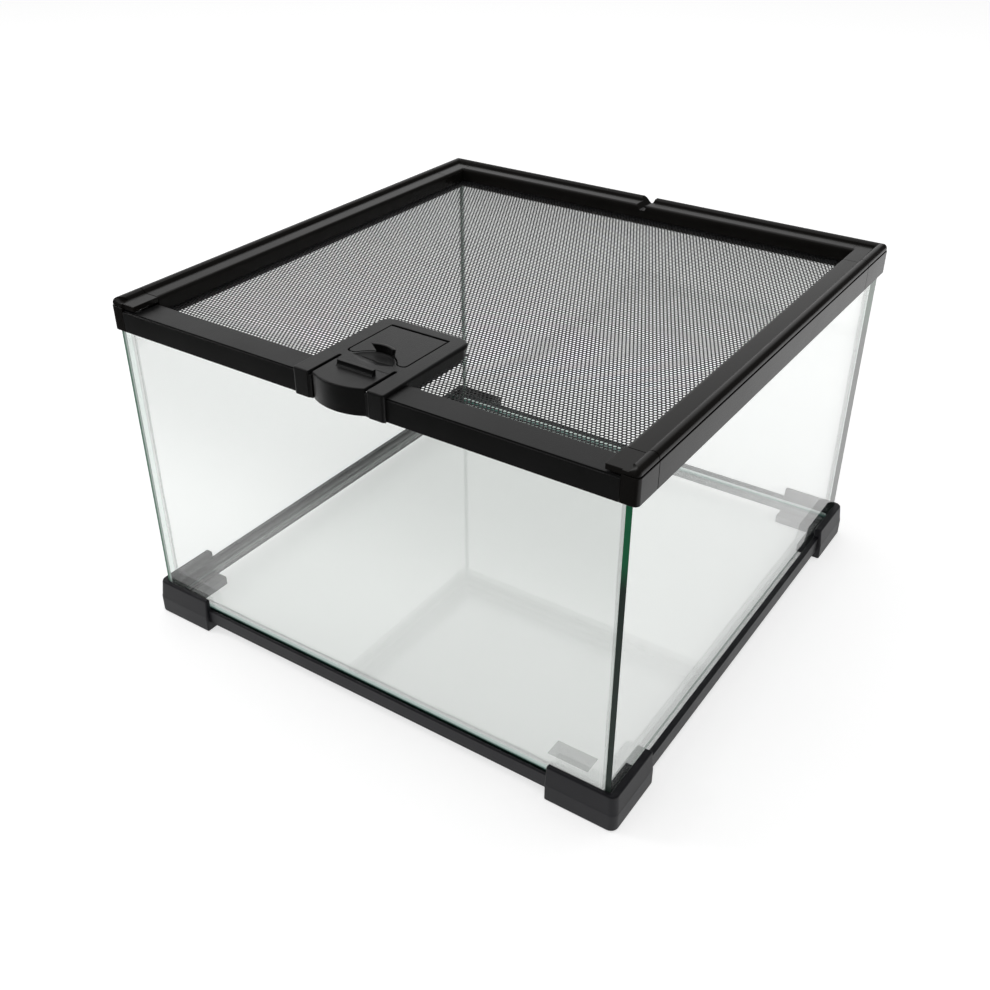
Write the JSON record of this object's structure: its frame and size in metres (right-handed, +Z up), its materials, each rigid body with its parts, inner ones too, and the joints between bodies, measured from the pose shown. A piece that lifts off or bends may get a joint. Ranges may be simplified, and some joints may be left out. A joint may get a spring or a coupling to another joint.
{
  "type": "reptile terrarium",
  "caption": "Glass terrarium with a plastic base and top frame, a mesh lid that slides out forwards, a front latch lever and a small feeding hatch.",
  "frame": {"origin": "on the ground under the middle of the whole object's outer box, which reaches from the curved latch fascia in front to the back feet", "axes": "+Z up, -Y towards the front with the latch, +X to the right seen from the front"},
  "size_m": [0.306, 0.308, 0.198],
  "materials": {
    "clear_glass": "clear float glass, polished",
    "silicone": "translucent, smooth",
    "base_plastic": "charcoal, fine moulded texture",
    "frame_plastic": "satin black",
    "lid_plastic": "satin black",
    "mesh_metal": "black powder coat, perforated",
    "screw_steel": "bright zinc",
    "pin_steel": "ground steel",
    "spring_steel": "drawn wire"
  },
  "bodies": {
    "tank": {"front_glass": "clear_glass", "back_glass": "clear_glass", "left_glass": "clear_glass", "right_glass": "clear_glass", "floor_glass": "clear_glass", "corner_seal_front_left": "silicone", "corner_seal_front_right": "silicone", "corner_seal_back_left": "silicone", "corner_seal_back_right": "silicone", "floor_seal": "silicone", "base_strip_front": "base_plastic", "base_strip_back": "base_plastic", "base_strip_left": "base_plastic", "base_strip_right": "base_plastic", "foot_front_left": "base_plastic", "foot_front_right": "base_plastic", "foot_back_left": "base_plastic", "foot_back_right": "base_plastic", "rail_left": "frame_plastic", "rail_right": "frame_plastic", "rail_back": "frame_plastic", "top_corner_front_left": "frame_plastic", "top_corner_front_right": "frame_plastic", "top_corner_back_left": "frame_plastic", "top_corner_back_right": "frame_plastic", "front_sill": "frame_plastic", "latch_strike": "frame_plastic"},
    "lid": {"lid_bar": "lid_plastic", "mesh_panel": "mesh_metal", "mesh_runner_left": "lid_plastic", "mesh_runner_right": "lid_plastic", "mesh_back_trim": "lid_plastic", "latch_housing": "lid_plastic", "clamp_plate": "lid_plastic", "housing_screws": "screw_steel", "latch_pin": "pin_steel", "latch_spring": "spring_steel", "hatch_pin": "pin_steel"},
    "latch": {"latch_lever": "lid_plastic"},
    "hatch": {"feed_hatch": "lid_plastic"}
  },
  "joints": [
    {"name": "lid_slide", "type": "slide", "parent": "tank", "child": "lid", "axis": [0, -1, 0], "range_m": [0, 0.27]},
    {"name": "latch_lift", "type": "hinge", "parent": "lid", "child": "latch", "pos_m": [0, -0.1334, 0.1914], "axis": [-1, 0, 0], "range_deg": [-5, 35], "stiffness_Nm_per_rad": 0.05, "deforming": ["latch_spring"]},
    {"name": "hatch_swing", "type": "hinge", "parent": "lid", "child": "hatch", "pos_m": [0, -0.0913, 0.1924], "axis": [-1, 0, 0], "range_deg": [0, 100]}
  ]
}
